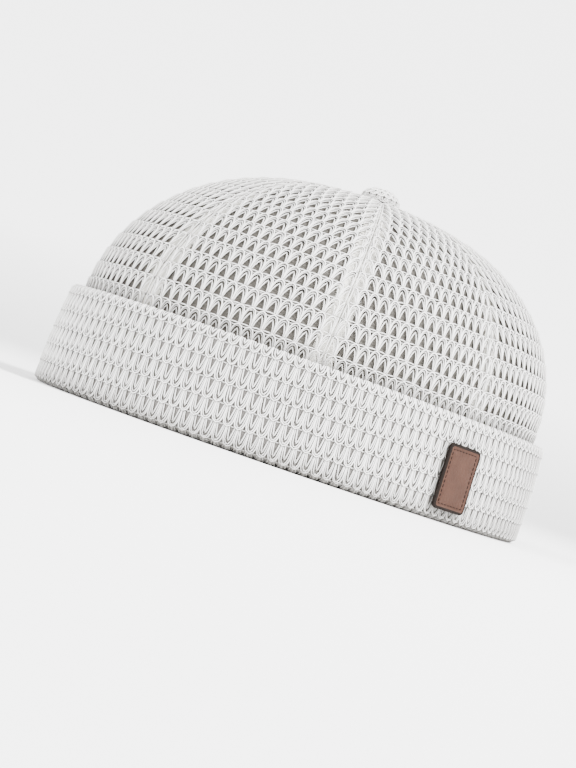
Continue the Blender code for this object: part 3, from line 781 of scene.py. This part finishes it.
# %% [markdown]
# ## Edges of the arch
# Where the arch cuts the knit, its raw edge is turned and sewn. A few strands side by side follow
# the arch and close the edge: a broad row through the cuff's thickness, a narrow one on the crown.

# %% Edge strands
EDGE_STRAND, EDGE_OUT, EDGE_STEPS = 0.00042, 0.0002, 90
store = new_store()
for side in (-1, 1):
    z = np.linspace(0.0008, CUFF_HEIGHT - 0.0012, 40)
    for inset in np.linspace(0.0004, LINING_FACE - 0.0006, 8):
        top = np.minimum(z, FOLD_FLOOR) if inset > CUFF_WALL else z
        line = wall(angle_at_x(side * arch_x(top, EDGE_OUT), inset, top), inset, top)
        if inset > CUFF_WALL:
            line = line[:4]
        outward = np.broadcast_to([-side, 0.0, 0.0], line.shape)
        add_tubes(store, line[None], outward[None], EDGE_STRAND, sides=5)
sweep_turn = np.linspace(0.18, math.pi - 0.18, EDGE_STEPS)
rim_x = -np.cos(sweep_turn)
edge_x = (ARCH_HALF_WIDTH + EDGE_OUT) * np.sign(rim_x) * np.abs(rim_x) ** (2 / ARCH_POWER)
edge_height = (ARCH_HEIGHT + EDGE_OUT) * np.sin(sweep_turn) ** (2 / ARCH_POWER)
edge_rise = rise_at_height(edge_height)
edge_angle = bisect_angle(edge_x, lambda a: crown_outer(a, edge_rise))
for depth in (0.0005, 0.0012, 0.0018):
    points, outward = crown(edge_angle, edge_rise, np.full(EDGE_STEPS, depth))
    add_tubes(store, points[None], outward[None], EDGE_STRAND, sides=5)
arch_edge = finish_mesh(store, "arch_edge", [yarn])
dress([arch_edge])
print(arch_edge.name, triangles(arch_edge), "triangles")

# %% [markdown]
# ## Stitches and cotton
# A stitch shows as a short thread that dives into the cloth at both ends. One helper lays a row of
# them along any line. The cottons are matt, khaki for the lining and paler for the seam tapes.

# %% Stitches and cotton cloths
def stitches(store, line, outward, pitch, radius=0.00018, cover=0.72):
    """A row of stitches along a line of points, with the outward direction at each point."""
    run = np.concatenate([[0], np.cumsum(np.linalg.norm(np.diff(line, axis=0), axis=-1))])
    count = max(int(run[-1] / pitch), 1)
    middles = (np.arange(count) + 0.5) * run[-1] / count
    spots = middles[:, None] + np.array([-0.5, -0.36, 0, 0.36, 0.5]) * pitch * cover
    lift = np.array([-1.4, 0.35, 0.6, 0.35, -1.4]) * radius
    place = np.stack([np.interp(spots, run, line[:, i]) for i in range(3)], -1)
    out = unit(np.stack([np.interp(spots, run, outward[:, i]) for i in range(3)], -1))
    add_tubes(store, place + out * lift[:, None], out, radius)


khaki = cloth("khaki_cotton", (0.34, 0.295, 0.20), (0.29, 0.25, 0.168), roughness=0.9, grain=1800)
pale_cotton = cloth("pale_cotton", (0.86, 0.84, 0.77), (0.80, 0.77, 0.70), roughness=0.9, grain=1800)
light_thread = cloth("light_thread", (0.74, 0.70, 0.58), (0.66, 0.62, 0.50), roughness=0.6)
dark_thread = cloth("dark_thread", (0.16, 0.13, 0.085), (0.12, 0.10, 0.065), roughness=0.6)


def crumple(places, chance, waves, low, high):
    """A small unevenness from a few crossing waves of random direction, between -1 and 1."""
    total = np.zeros(places.shape[:-1])
    for _ in range(waves):
        way = unit(chance.normal(0, 1, 2))
        length = chance.uniform(low, high)
        total += np.sin(places @ way / length * TAU + chance.uniform(0, TAU))
    return total / waves


print("cottons", khaki.name, pale_cotton.name)

# %% [markdown]
# ## Seam tapes
# Inside, a flat tape covers every seam of the crown and is sewn down along both edges. Its pale
# cotton shows through the knit beside each seam.

# %% Seam tapes
TAPE_WALL, TAPE_ROWS, TAPE_PITCH = 0.0008, 40, 0.0032
TAPE_DEPTH = CROWN_WALL + GAP
tape_top = rise_at_radius(0.0034)
for k in range(PANEL_COUNT):
    rises = np.linspace(float(rise_at_height(tape_foot(k) + 2 * GAP)), tape_top, TAPE_ROWS)
    radius = rim_radius(SEAMS[k], CROWN_INSET) * narrowing(rises)
    half = np.minimum(TAPE_WIDTH / 2 / radius, (SEAMS[1] - SEAMS[0]) / 2 - 0.0003 / radius)
    across = np.array([-1, -0.6, -0.2, 0.2, 0.6, 1, 1, 0.85, 0.7, 0.3, -0.3, -0.7, -0.85, -1])
    deep = np.array([0, 0, 0, 0, 0, 0, 0.6, 1, 0.7, 0.95, 0.95, 0.7, 1, 0.6]) * TAPE_WALL
    angle = SEAMS[k] + half[:, None] * across
    rings, _ = crown(angle, np.broadcast_to(rises[:, None], angle.shape), deep + TAPE_DEPTH)
    store = new_store()
    add_rings(store, rings[None])
    for share in (-0.7, 0.7):
        depth = np.full(TAPE_ROWS, TAPE_WALL * 0.75 + TAPE_DEPTH)
        line, outward = crown(SEAMS[k] + half * share, rises, depth)
        stitches(store, line, -outward, TAPE_PITCH)
    tape = finish_mesh(store, f"seam_tape_cloth_{k + 1}", [pale_cotton], sharp=50, recalculate=True)
    dress([tape], f"seam_tape_{k + 1}")
print("tape", triangles(tape), "triangles each")

# %% [markdown]
# ## Button
# A small round button, covered in the same yarn, closes the point where the eight gores meet. Its
# stitches run in rings that get narrower towards the middle.

# %% Covered button
BUTTON_RADIUS, BUTTON_HEIGHT, BUTTON_FULLNESS, BUTTON_CELLS = 0.008, 0.0055, 0.9, 15
BUTTON_YARN, SHANK_SHARE, SHANK_LENGTH = 0.0006, 0.45, 0.0034
BUTTON_BASE = CROWN_HEIGHT + GAP
BUTTON_Y = SHIFT_Y + CROWN_SETBACK


def button_points(angle, turn, depth):
    radius = BUTTON_RADIUS * np.sin(turn) ** BUTTON_FULLNESS - depth * np.sin(turn)
    z = BUTTON_BASE + (BUTTON_HEIGHT - depth) * np.cos(turn)
    outward = np.stack([np.sin(angle) * np.sin(turn), -np.cos(angle) * np.sin(turn), np.cos(turn)], -1)
    return np.stack([radius * np.sin(angle), BUTTON_Y - radius * np.cos(angle), z], -1), outward


turns = np.linspace(math.pi / 2, 0.04, 12)[:, None]
bearings = np.linspace(0, TAU, 33)[:-1][None]
rings, _ = button_points(bearings + turns * 0, turns + bearings * 0, BUTTON_YARN)
foot = rings[:1].copy()
foot[..., 2] = BUTTON_BASE
under = foot * [SHANK_SHARE, 1, 1] + [0, 0, -0.0002]
under[..., 1] = BUTTON_Y + (foot[..., 1] - BUTTON_Y) * SHANK_SHARE
shank = under + [0, 0, -SHANK_LENGTH]
# The button's core is painted dark grey, as the shade under its knit.
button_core = skin(np.concatenate([shank, under, foot, rings]), "button_core", [yarn_core_painted_shade])
store = new_store()
for row, (start, end) in enumerate(((1.62, 1.12), (1.2, 0.78), (0.86, 0.45), (0.52, 0.12))):
    for cell, radius, sides in CUFF_STRANDS:
        course = row_of(cell, 0.5 * (row % 2), BUTTON_CELLS, chance)
        turn = np.clip(start + (end - start) * course[:, 1], 0.1, math.pi / 2)
        depth = (0.5 - course[:, 2]) * BUTTON_YARN
        points, outward = button_points(course[:, 0] / BUTTON_CELLS * TAU, turn, depth)
        add_tubes(store, points[None], outward[None], radius * 0.9, sides)
button = finish_mesh(store, "button_knit", [yarn])
dress((button_core, button), "top_button")
print(button.name, triangles(button), "triangles")

# %% [markdown]
# ## Sweatband
# A band of khaki cotton lines the rim. It is quilted: rows of stitches run all round it, the cloth
# swells a little between them and creases across them. A thin cream piping shows at its foot.

# %% Sweatband cloth
BAND_STEPS, BAND_RADIUS, BAND_PITCH = 340, 0.09, 0.0031
SWEATBAND_WALL, HEM_LIFT = 0.0013, 0.0007
BAND_ROWS = (0.0045, 0.0125, 0.0205, 0.0285)
BAND_SWELL, BAND_CREASE = 0.0005, 0.00035


def band_limit(z):
    """The bearing at which the sweatband gives way to the facing, on the wearer's left."""
    level = np.clip(z / FACING_HEIGHT, 0, 1) ** CONTOUR_POWER
    reach = FACING_HALF_WIDTH * (1 - level) ** (1 / CONTOUR_POWER) + 0.00005
    return angle_at_x(reach, LINING_INSET, z)


def band_swell(z):
    """How far the cloth swells inward between the rows of stitches, from 0 to 1."""
    rows = np.array((HEM_LIFT,) + BAND_ROWS + (SWEATBAND_HEIGHT,))
    k = np.clip(np.searchsorted(rows, z, side="right") - 1, 0, len(rows) - 2)
    share = np.clip((z - rows[k]) / (rows[k + 1] - rows[k]), 0, 1)
    return np.sin(np.pi * share) ** 0.7


face_z = np.concatenate([np.linspace(a, b, 9)[:-1] for a, b in
                         zip((0.0011,) + BAND_ROWS, BAND_ROWS + (SWEATBAND_HEIGHT - 0.0003,))])[::-1]
back_z = np.linspace(HEM_LIFT + 0.0002, SWEATBAND_HEIGHT - 0.0002, 5)
band_z = np.concatenate([back_z, [SWEATBAND_HEIGHT], face_z, [HEM_LIFT]])
half_wall = [SWEATBAND_WALL / 2]
band_depth = np.concatenate([back_z * 0, half_wall, face_z * 0 + SWEATBAND_WALL, half_wall])
on_face = np.concatenate([back_z * 0, [0], face_z * 0 + 1, [0]])
shares = np.linspace(-1, 1, BAND_STEPS)
band_angle = shares[:, None] * band_limit(band_z)[None]
flat_place = np.stack([band_angle * BAND_RADIUS, np.broadcast_to(band_z, band_angle.shape)], -1)
crease = crumple(flat_place, chance, 9, 0.004, 0.016)
relief = on_face * band_swell(band_z) * (BAND_SWELL + BAND_CREASE * crease)
rings = wall(band_angle, LINING_INSET + band_depth + relief, np.broadcast_to(band_z, band_angle.shape))
sweatband = skin(rings, "sweatband_cloth", [khaki])
dress([sweatband], "sweatband")
band_middle = wall(band_angle[:, 0], LINING_INSET, 0.0)
print(sweatband.name, triangles(sweatband), "triangles")

# %% Sweatband stitches and piping
def band_row(z):
    store = new_store()
    angle = shares * float(band_limit(np.array([z]))[0])
    line = wall(angle, LINING_INSET + SWEATBAND_WALL, np.full(BAND_STEPS, z))
    inward = np.stack([-np.sin(angle), np.cos(angle), angle * 0], -1)
    stitches(store, line, inward, BAND_PITCH, radius=0.00022)
    return store


hem_stitches = finish_mesh(band_row(BAND_ROWS[0]), "hem_stitches", [dark_thread])
band_stitches = [finish_mesh(band_row(z), f"band_stitches_{i + 1}", [light_thread])
                 for i, z in enumerate(BAND_ROWS[1:])]
store = new_store()
angle = shares[::2] * float(band_limit(np.array([0.001]))[0])
line = wall(angle, LINING_FACE + 0.0003, np.full(angle.shape, 0.0006))
down = np.broadcast_to([0.0, 0.0, -1.0], line.shape)
add_tubes(store, line[None], down[None], 0.0005, sides=6)
piping = finish_mesh(store, "rim_piping", [pale_cotton])
dress((hem_stitches, *band_stitches, piping))
print("a row of stitches", triangles(hem_stitches), "triangles")

# %% [markdown]
# ## Facing of the arch
# A shaped piece of the same khaki cotton lines the arch. Its edges are folded under and sewn with a
# darker thread, and it stands off the crown a little where the ends of the strap lie behind it.

# %% Facing cloth
STRAP_WALL, STRAP_LIFT, STRAP_WIDTH, STRAP_INSERT = 0.0012, 0.0035, 0.020, 0.010
FACING_REACH, FACING_STEPS, FACE_RINGS = 0.024, 180, 27
FACING_WALL, FACING_SETBACK = 0.0016, 0.003
FOLD_SWELL, FACING_STITCH, FACING_PITCH, FACING_SWELL = 0.0003, 0.0028, 0.0029, 0.0002


def smooth_step(value, start, end):
    share = np.clip((value - start) / (end - start), 0, 1)
    return share * share * (3 - 2 * share)


def pocket_depth(x, z):
    far = ARCH_HALF_WIDTH + STRAP_INSERT + FACING_SETBACK
    high = STRAP_LIFT + STRAP_WIDTH + FACING_SETBACK
    fade = FACING_REACH / 3
    return ((STRAP_WALL + GAP) * (1 - smooth_step(np.abs(x), far, far + fade))
            * (1 - smooth_step(z, high, high + fade)))


def lining(x, z, extra):
    """Points of the lining seen from behind: on the wall, or under the dome above it."""
    x, z, extra = np.broadcast_arrays(x, z, extra)
    angle = angle_at_x(x, LINING_INSET, np.minimum(z, SHOULDER_Z))
    low = wall(angle, LINING_INSET + extra, z)
    high, outward = crown(angle, rise_at_height(z), CROWN_WALL + GAP + extra)
    blend = smooth_step(z, SHOULDER_Z - 0.0005, SHOULDER_Z + 0.0005)[..., None]
    return low * (1 - blend) + high * blend, outward


def contour(half_width, height, power, turn):
    c, s = -np.cos(turn), np.sin(turn)
    return half_width * np.sign(c) * np.abs(c) ** (2 / power), height * np.abs(s) ** (2 / power)


facing_turn = np.linspace(0, np.pi, FACING_STEPS)
inner_x, inner_z = contour(ARCH_HALF_WIDTH + FACING_SETBACK, ARCH_HEIGHT + FACING_SETBACK,
                           ARCH_POWER, facing_turn)
outer_x, outer_z = contour(FACING_HALF_WIDTH, FACING_HEIGHT, CONTOUR_POWER, facing_turn)
facing_wide = np.hypot(outer_x - inner_x, outer_z - inner_z)


def facing_line(from_edge, outer_edge, extra):
    """A line on the facing that keeps its distance from one of the two edges."""
    share = from_edge / facing_wide
    share = 1 - share if outer_edge else share
    x = inner_x + (outer_x - inner_x) * share
    z = np.maximum(inner_z + (outer_z - inner_z) * share, HEM_LIFT)
    return lining(x, z, pocket_depth(x, z) + extra)


back_share = np.linspace(0.02, 0.98, 10)
face_share = np.concatenate([[1.0], np.linspace(0.985, 0.015, FACE_RINGS), [0.0]])
loop_share = np.concatenate([back_share, face_share])
loop_face = np.concatenate([back_share * 0, [0], np.ones(FACE_RINGS), [0]])
loop_depth = FACING_WALL * np.concatenate([back_share * 0, [0.5], np.ones(FACE_RINGS), [0.5]])
x = inner_x[:, None] + (outer_x - inner_x)[:, None] * loop_share
z = np.maximum(inner_z[:, None] + (outer_z - inner_z)[:, None] * loop_share, HEM_LIFT)
from_edge = np.minimum(loop_share, 1 - loop_share) * facing_wide[:, None]
fold = FOLD_SWELL * np.sin(np.pi * np.clip(from_edge / FACING_STITCH, 0, 1))
middle = smooth_step(from_edge, FACING_STITCH, FACING_STITCH * 2.2)
crease = crumple(np.stack([x, z], -1), chance, 9, 0.004, 0.015)
relief = loop_face * (fold + middle * FACING_SWELL * (1 + crease))
rings, _ = lining(x, z, pocket_depth(x, z) + loop_depth + relief)
facing = skin(rings, "arch_facing_cloth", [khaki])
store = new_store()
for outer_edge in (False, True):
    line, outward = facing_line(FACING_STITCH, outer_edge, FACING_WALL)
    stitches(store, line, -outward, FACING_PITCH)
facing_stitches = finish_mesh(store, "facing_stitches", [dark_thread])
dress([facing], "arch_facing")
dress([facing_stitches])
print(facing.name, triangles(facing), "triangles")

# %% [markdown]
# ## Strap
# One black webbing spans the arch. Webbing is woven with ribs along its length and firm rounded
# edges. Its ends go up behind the facing, and near the middle it is threaded through the slider.

# %% Strap webbing
STRAP_INSET = LINING_INSET + STRAP_WALL / 2
SLIDER_OFFSET, SLIDER_WALL, SLIDER_BAR, SLIDER_RAIL, SLIDER_SLOT = 0.015, 0.0015, 0.009, 0.002, 0.004
SLIDER_LIP, STRAP_RAMP = 0.003, 0.36
SLIDER_LENGTH = SLIDER_BAR + 2 * SLIDER_SLOT + 2 * SLIDER_RAIL
STRAP_SWING = SLIDER_WALL + STRAP_WALL + 2 * FIT
STRAP_STEPS, RIB_POINTS, RIB_PITCH, RIB_DEPTH, SELVEDGE_POWER = 130, 41, 0.00125, 0.00018, 14


def strap_frame(z):
    """The strap's place at the slider, with the directions along it and out of the cap."""
    angle = float(angle_at_x(SLIDER_OFFSET, STRAP_INSET, z))
    along = unit(wall(angle - 1e-3, STRAP_INSET, z) - wall(angle + 1e-3, STRAP_INSET, z))
    return wall(angle, STRAP_INSET, z), along, np.array([-along[1], along[0], 0.0])


def strap_line(z):
    """The strap's middle line at one height, and the outward direction at each of its points."""
    centre, along, outward = strap_frame(z)
    reach = ARCH_HALF_WIDTH + STRAP_INSERT
    first, last = angle_at_x(np.array([reach, -reach]), STRAP_INSET, z)
    angle = np.linspace(first, last, STRAP_STEPS)
    line = wall(angle, STRAP_INSET, z)
    out = np.stack([np.sin(angle), -np.cos(angle), angle * 0], -1)
    u = (line - centre) @ along
    half = SLIDER_LENGTH / 2
    straight = 1 - smooth_step(np.abs(u), half + SLIDER_RAIL, half + 3 * SLIDER_RAIL)
    slot_middle, ramp = (SLIDER_BAR + SLIDER_SLOT) / 2, SLIDER_SLOT * STRAP_RAMP
    swing = STRAP_SWING * (1 - smooth_step(np.abs(u), slot_middle - ramp, slot_middle + ramp))
    flat = centre + along * u[:, None]
    line = line + (flat - line) * straight[:, None] + outward * swing[:, None]
    return line, unit(out + (outward - out) * straight[:, None])


low_line, low_out = strap_line(STRAP_LIFT)
high_line, high_out = strap_line(STRAP_LIFT + STRAP_WIDTH)
width_share = np.linspace(0, 1, RIB_POINTS)
edge_round = np.sqrt(np.clip(1 - np.abs(2 * width_share - 1) ** SELVEDGE_POWER, 0, 1))
rib = RIB_DEPTH * np.cos(width_share * STRAP_WIDTH / RIB_PITCH * TAU) * edge_round
out_side = (STRAP_WALL / 2 - RIB_DEPTH) * edge_round + rib
loop_share = np.concatenate([width_share, width_share[-2:0:-1]])
loop_out = np.concatenate([out_side, -out_side[-2:0:-1]])
across = low_line[:, None] + (high_line - low_line)[:, None] * loop_share[:, None]
out = unit(low_out + high_out)
ahead = unit(np.gradient((low_line + high_line) / 2, axis=0))
upward = unit(high_line - low_line)
normal = unit(np.cross(ahead, upward))
normal = normal * np.sign((normal * out).sum(-1, keepdims=True))
webbing = cloth("webbing", (0.011, 0.011, 0.0125), (0.007, 0.007, 0.008), roughness=0.8, sheen=0.05,
                gloss=0.12, grain=2500, bump=0.5)
strap = skin(across + normal[:, None] * loop_out[:, None], "strap_webbing", [webbing], sharp=60)
dress([strap], "strap")
print(strap.name, triangles(strap), "triangles")

# %% [markdown]
# ## Slider
# A moulded plate with two slots. Its outline and slots are one flat curve that is given thickness
# and a rounded edge, with a small boss in the middle of its bar.

# %% Slider plate
SLIDER_BEVEL, SLIDER_CORNER, SLOT_CORNER = 0.0004, 0.0016, 0.0008
BOSS_RADIUS, BOSS_RISE = 0.0015, 0.35


def rounded_box(width, height, corner, steps=5):
    points = []
    for quarter, (sx, sy) in enumerate(((1, 1), (-1, 1), (-1, -1), (1, -1))):
        for i in range(steps + 1):
            t = math.pi / 2 * (quarter + i / steps)
            points.append((sx * (width / 2 - corner) + corner * math.cos(t),
                           sy * (height / 2 - corner) + corner * math.sin(t)))
    return points


plate = bpy.data.curves.new("slider_outline", "CURVE")
plate.dimensions = "2D"
plate.fill_mode = "BOTH"
plate.extrude = SLIDER_WALL / 2 - SLIDER_BEVEL
plate.bevel_depth = SLIDER_BEVEL
plate.bevel_resolution = 3
tall = STRAP_WIDTH + 2 * SLIDER_LIP
grow = 2 * SLIDER_BEVEL
outlines = [(0, rounded_box(SLIDER_LENGTH - grow, tall - grow, SLIDER_CORNER))]
for side in (-1, 1):
    slot = rounded_box(SLIDER_SLOT + grow / 2, STRAP_WIDTH + 2 * GAP + grow / 2, SLOT_CORNER)
    outlines.append((side * (SLIDER_BAR + SLIDER_SLOT) / 2, slot))
for offset, outline in outlines:
    spline = plate.splines.new("POLY")
    spline.points.add(len(outline) - 1)
    spline.use_cyclic_u = True
    for point, (x, y) in zip(spline.points, outline):
        point.co = (x + offset, y, 0, 1)
maker = bpy.data.objects.new("slider_maker", plate)
bpy.context.scene.collection.objects.link(maker)
bpy.context.view_layer.update()
depsgraph = bpy.context.evaluated_depsgraph_get()
slider_mesh = bpy.data.meshes.new_from_object(maker.evaluated_get(depsgraph))
bpy.data.objects.remove(maker)
form = bmesh.new()
form.from_mesh(slider_mesh)
bmesh.ops.remove_doubles(form, verts=form.verts, dist=1e-6)
boss = bmesh.ops.create_uvsphere(form, u_segments=20, v_segments=10, radius=BOSS_RADIUS)
bmesh.ops.scale(form, verts=boss["verts"], vec=(1, 1, BOSS_RISE))
bmesh.ops.translate(form, verts=boss["verts"], vec=(0, 0, SLIDER_WALL / 2))
bmesh.ops.rotate(form, verts=form.verts, matrix=Matrix.Rotation(math.pi / 2, 3, "X"))
bmesh.ops.recalc_face_normals(form, faces=form.faces)
form.to_mesh(slider_mesh)
form.free()
slider_mesh.shade_smooth()
slider_mesh.set_sharp_from_angle(angle=math.radians(50))
plastic = cloth("slider_plastic", (0.013, 0.013, 0.0115), (0.010, 0.010, 0.009), roughness=0.36,
                sheen=0.0, gloss=0.15, grain=3000, bump=0.1)
slider_mesh.materials.append(plastic)
slider = bpy.data.objects.new("slider_plate", slider_mesh)
bpy.context.scene.collection.objects.link(slider)
centre, along, outward = strap_frame(STRAP_LIFT + STRAP_WIDTH / 2)
slider.location = centre + outward * STRAP_SWING / 2
slider.rotation_euler = (math.atan(LEAN_BACK / CUFF_HEIGHT), 0, math.atan2(along[1], along[0]))
bpy.context.view_layer.update()
dress([slider], "slider")
print(slider.name, triangles(slider), "triangles, along", along.round(3))

# %% [markdown]
# ## Label
# A small leather-look tab lies on the cuff over the wearer's left temple. Its edge is painted dark,
# a dark seam runs just inside it, and its face is left bare.

# %% Label tab
LABEL_ANGLE, LABEL_WIDTH, LABEL_HEIGHT, LABEL_LIFT = math.radians(85.5), 0.017, 0.024, 0.0045
LABEL_WALL, LABEL_CORNER, LABEL_SEAM = 0.0012, 0.002, 0.0021
label_proud = FIT + LABEL_WALL + CUFF_BELLY
label_radius = float(rim_radius(LABEL_ANGLE, 0.0))


def label_ring(inset, depth, shift=0.0):
    """One ring of the tab, this far in from its edge and this far below its face."""
    corner = max(LABEL_CORNER - inset, 0.0003)
    outline = np.array(rounded_box(LABEL_WIDTH - 2 * inset, LABEL_HEIGHT - 2 * inset, corner, steps=7))
    x, z = outline[:, 0] + shift, outline[:, 1] + LABEL_LIFT + LABEL_HEIGHT / 2
    return wall(LABEL_ANGLE + x / label_radius, -label_proud + depth, z)


leather = cloth("label_leather", (0.044, 0.0205, 0.0138), (0.034, 0.016, 0.0108), roughness=0.65,
                sheen=0.0, gloss=0.1, grain=1100, bump=0.4, patch=150)
label_edge = cloth("label_edge", (0.012, 0.009, 0.008), (0.008, 0.006, 0.005), roughness=0.7,
                   sheen=0.0, gloss=0.04)
# Each ring's distance in from the edge, its depth below the face and a small shift along the cuff.
label_steps = [(0.0003, LABEL_WALL, 0), (0, LABEL_WALL - 0.0002, 0), (0, 0.0003, 0), (0.0001, 0.0001, 0),
               (0.0003, 0, 0), (0.0010, 0, 0.0002), (0.0011, 0.00008, 0.0002), (0.0015, 0.00005, 0.0001),
               (0.0019, 0.00015, 0), (0.0023, 0.00015, 0), (0.0028, 0.00002, 0), (0.0040, 0, 0),
               (0.0055, 0, 0), (0.0072, 0, 0)]
DARK_STEPS = 5
rings = np.stack([label_ring(*step) for step in label_steps])
label = skin(rings, "label_tab", [leather, label_edge])
for index, polygon in enumerate(label.data.polygons):
    polygon.material_index = 1 if index < DARK_STEPS * rings.shape[1] else 0
store = new_store()
line = label_ring(LABEL_SEAM, 0.0001)
line = np.concatenate([line, line[:1]])
outward = np.broadcast_to([math.sin(LABEL_ANGLE), -math.cos(LABEL_ANGLE), 0.0], line.shape)
stitches(store, line, outward, 0.0017, radius=0.00013)
label_stitches = finish_mesh(store, "label_stitches", [label_edge])
dress([label], "label")
dress([label_stitches])
print(label.name, triangles(label), "triangles")
